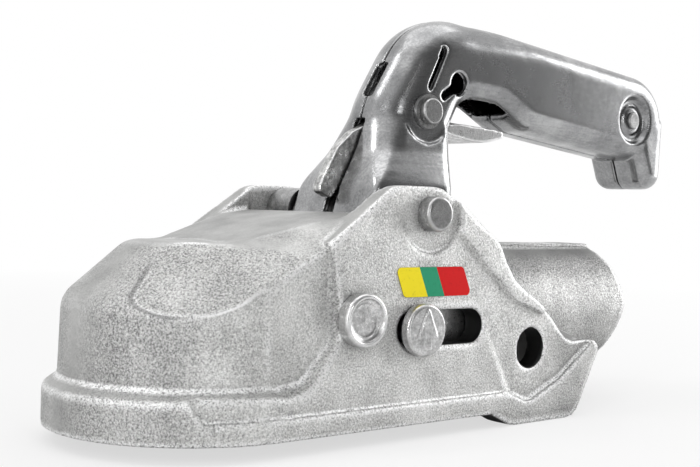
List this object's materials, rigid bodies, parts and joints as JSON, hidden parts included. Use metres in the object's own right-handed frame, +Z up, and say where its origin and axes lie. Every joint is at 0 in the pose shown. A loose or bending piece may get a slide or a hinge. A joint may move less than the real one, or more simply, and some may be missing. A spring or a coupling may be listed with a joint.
{
  "type": "trailer ball coupler",
  "caption": "Cast trailer ball coupler with a domed ball socket, a lifting handle with a squeeze latch, a swinging jaw and a wear gauge, for a round drawbar.",
  "frame": {"origin": "centre of the tow ball in the closed socket", "axes": "+X back along the drawbar, +Y to the right of the direction of travel, +Z up"},
  "size_m": [0.2718, 0.0977, 0.1402],
  "materials": {
    "cast_body": "rough cast surface with a dull sandy zinc coat",
    "handle_sheet": "pressed sheet steel, bright zinc plated",
    "latch_sheet": "stamped sheet steel, zinc plated",
    "plate_steel": "stamped plate steel, zinc plated",
    "zinc_pins": "turned steel, zinc plated",
    "jaw_steel": "forged steel with a dark greased surface",
    "spring_steel": "oiled spring steel",
    "label_film": "printed film label in three plain colour zones"
  },
  "bodies": {
    "root": {"housing": "cast_body", "handle_pivot_pin": "zinc_pins", "pivot_retaining_ring": "zinc_pins", "spacer_bush_left": "zinc_pins", "spacer_bush_right": "zinc_pins", "jaw_axle_pin": "zinc_pins", "axle_retaining_ring": "zinc_pins", "spring_seat": "plate_steel", "main_spring": "spring_steel", "wear_label": "label_film"},
    "handle": {"handle_shell_left": "handle_sheet", "handle_shell_right": "handle_sheet", "lever_plate_left": "plate_steel", "lever_plate_right": "plate_steel", "pivot_sleeve_left": "zinc_pins", "pivot_sleeve_right": "zinc_pins", "latch_pin": "zinc_pins", "latch_washer_left": "zinc_pins", "latch_washer_right": "zinc_pins", "latch_retaining_ring": "zinc_pins", "latch_spacer_left": "zinc_pins", "latch_spacer_right": "zinc_pins", "latch_spring": "spring_steel", "grip_rivet": "zinc_pins"},
    "latch": {"latch_lever": "latch_sheet", "trigger": "latch_sheet"},
    "slide": {"slide_plate_left": "plate_steel", "slide_plate_right": "plate_steel", "thrust_web": "plate_steel", "drive_pin": "zinc_pins", "indicator_pin": "zinc_pins", "indicator_retaining_ring": "zinc_pins"},
    "jaw": {"ball_jaw": "jaw_steel", "jaw_pin": "zinc_pins"}
  },
  "joints": [
    {"name": "handle_lift", "type": "hinge", "parent": "root", "child": "handle", "pos_m": [0.0615, 0, 0.0407], "axis": [0, -1, 0], "range_deg": [0, 35.2], "stiffness_Nm_per_rad": 2, "springref_deg": -17.19},
    {"name": "latch_squeeze", "type": "hinge", "parent": "handle", "child": "latch", "pos_m": [0.085, 0, 0.076], "axis": [0, -1, 0], "range_deg": [0, 5], "stiffness_Nm_per_rad": 0.5, "springref_deg": -11.46, "deforming": ["latch_spring"]},
    {"name": "slide_travel", "type": "slide", "parent": "root", "child": "slide", "axis": [1, 0, 0], "range_m": [0, 0.0165], "deforming": ["main_spring"]},
    {"name": "jaw_swing", "type": "hinge", "parent": "root", "child": "jaw", "pos_m": [0.0306, 0, 0.0087], "axis": [0, -1, 0], "range_deg": [0, 20]}
  ],
  "couplings": [
    {"joint": "slide_travel", "follows": "handle_lift", "m_per_rad": 0.026857},
    {"joint": "jaw_swing", "follows": "handle_lift", "ratio": 0.56818}
  ]
}
